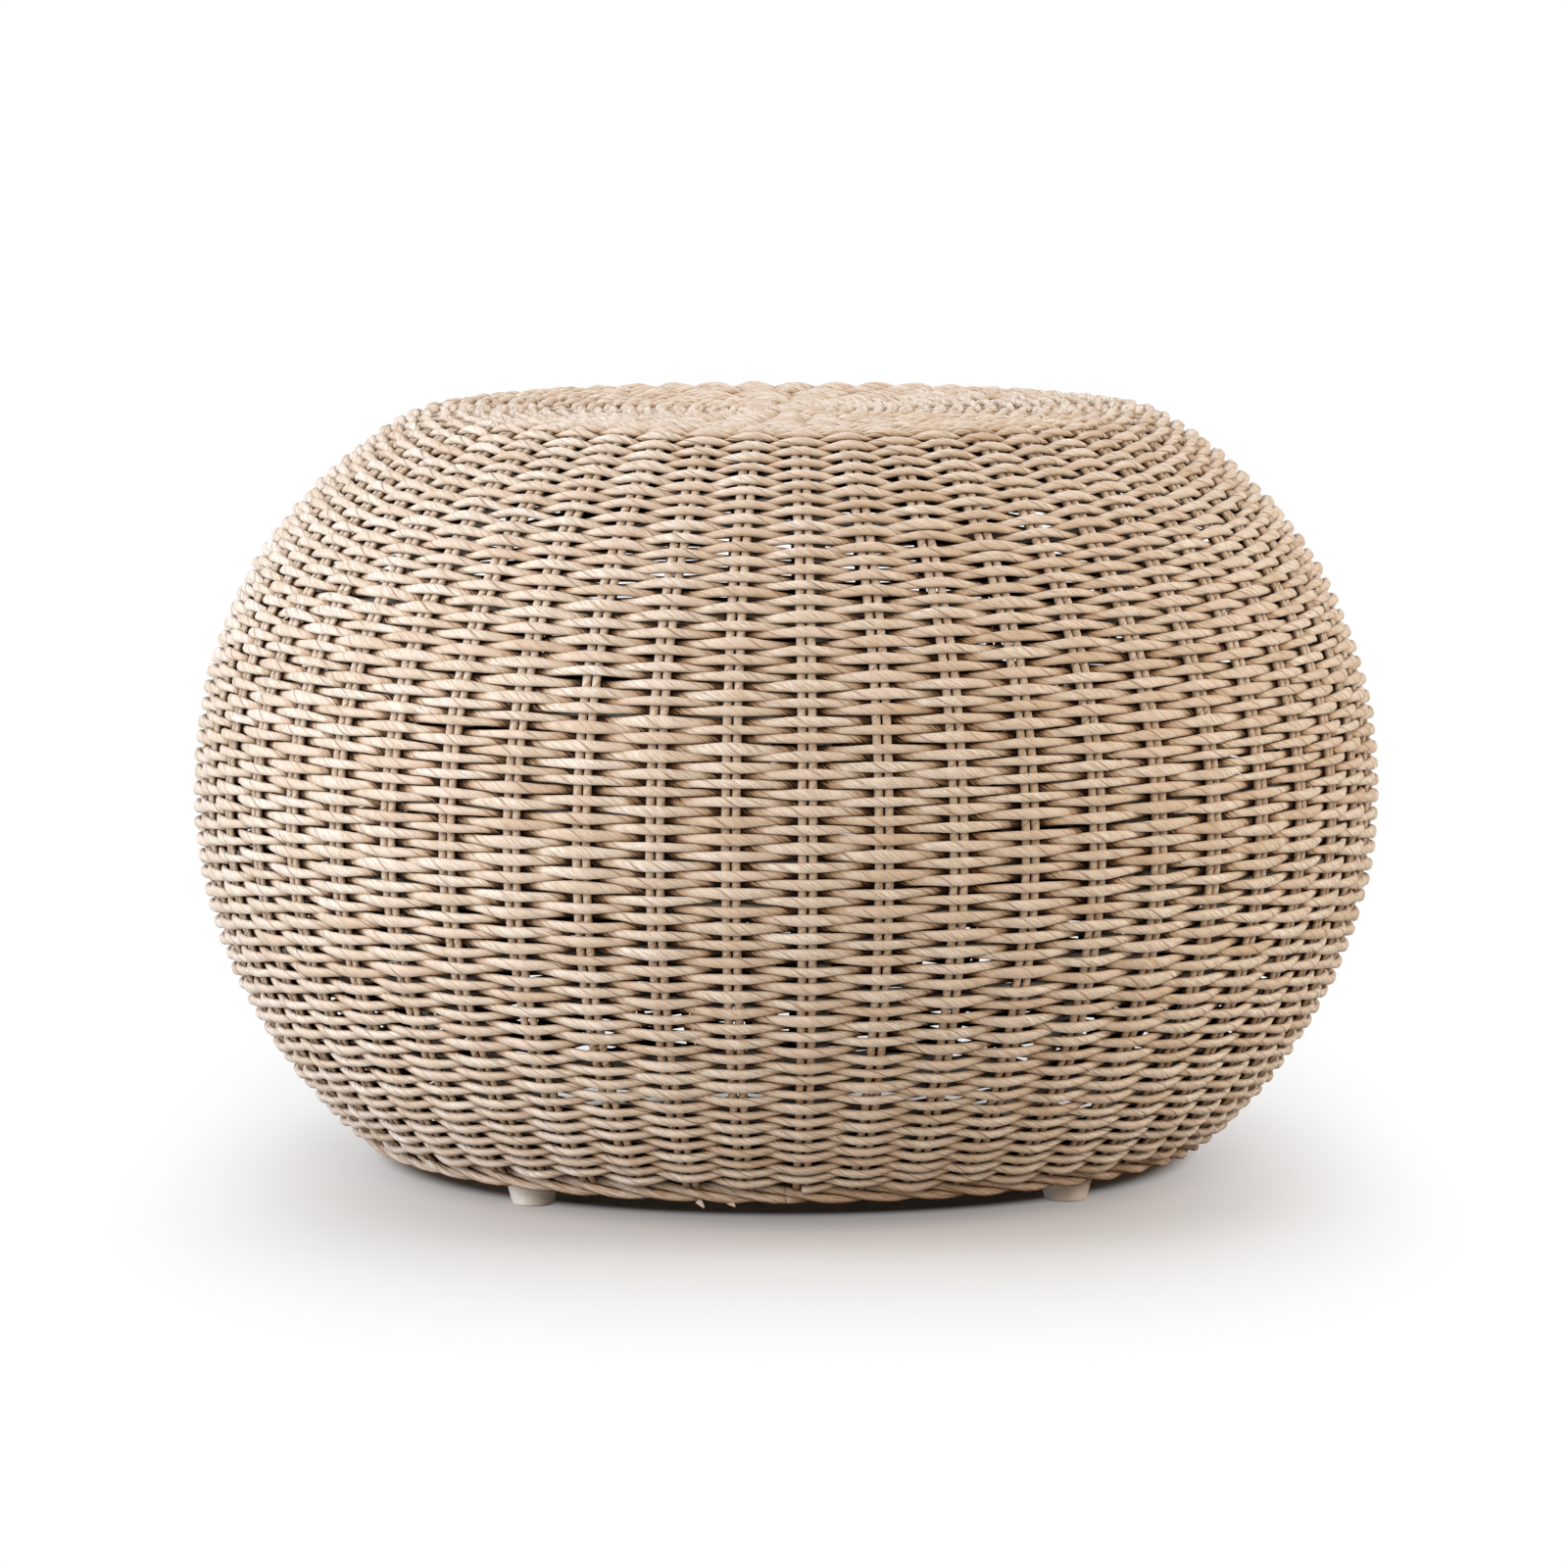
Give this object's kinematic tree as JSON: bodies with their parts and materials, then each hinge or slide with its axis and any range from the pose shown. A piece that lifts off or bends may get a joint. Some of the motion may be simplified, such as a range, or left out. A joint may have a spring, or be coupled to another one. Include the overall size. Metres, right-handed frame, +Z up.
{
  "type": "outdoor ottoman footstool",
  "caption": "Round barrel-shaped outdoor footstool with a woven resin skin over an aluminium hoop and rib frame, on small nylon glides.",
  "frame": {"origin": "on the floor, under the middle of the stool", "axes": "+Z up along the stool's middle line; the stool is round, and -Y faces the viewer of the picture"},
  "size_m": [0.6994, 0.6997, 0.4495],
  "materials": {
    "woven_resin": "matte twisted resin cord, sand beige with darker grooves",
    "frame_paint": "light grey powder coat on aluminium",
    "glide_nylon": "moulded nylon, cream white",
    "zinc_steel": "zinc plated"
  },
  "bodies": {
    "root": {"wall_weave": "woven_resin", "seat_weave": "woven_resin", "border_rope": "woven_resin", "wall_hoop_1": "frame_paint", "wall_hoop_2": "frame_paint", "wall_hoop_3": "frame_paint", "wall_hoop_4": "frame_paint", "wall_hoop_5": "frame_paint", "wall_hoop_6": "frame_paint", "shoulder_hoop": "frame_paint", "seat_hoop_1": "frame_paint", "seat_hoop_2": "frame_paint", "hub_plate": "frame_paint", "base_ring": "frame_paint", "rib_1": "frame_paint", "rib_2": "frame_paint", "rib_3": "frame_paint", "rib_4": "frame_paint", "rib_5": "frame_paint", "rib_6": "frame_paint", "rib_7": "frame_paint", "rib_8": "frame_paint", "foot_tab_1": "frame_paint", "foot_tab_2": "frame_paint", "foot_tab_3": "frame_paint", "foot_tab_4": "frame_paint", "foot_1": "glide_nylon", "foot_2": "glide_nylon", "foot_3": "glide_nylon", "foot_4": "glide_nylon", "foot_screw_1": "zinc_steel", "foot_screw_2": "zinc_steel", "foot_screw_3": "zinc_steel", "foot_screw_4": "zinc_steel", "foot_nut_1": "zinc_steel", "foot_nut_2": "zinc_steel", "foot_nut_3": "zinc_steel", "foot_nut_4": "zinc_steel"}
  },
  "joints": []
}
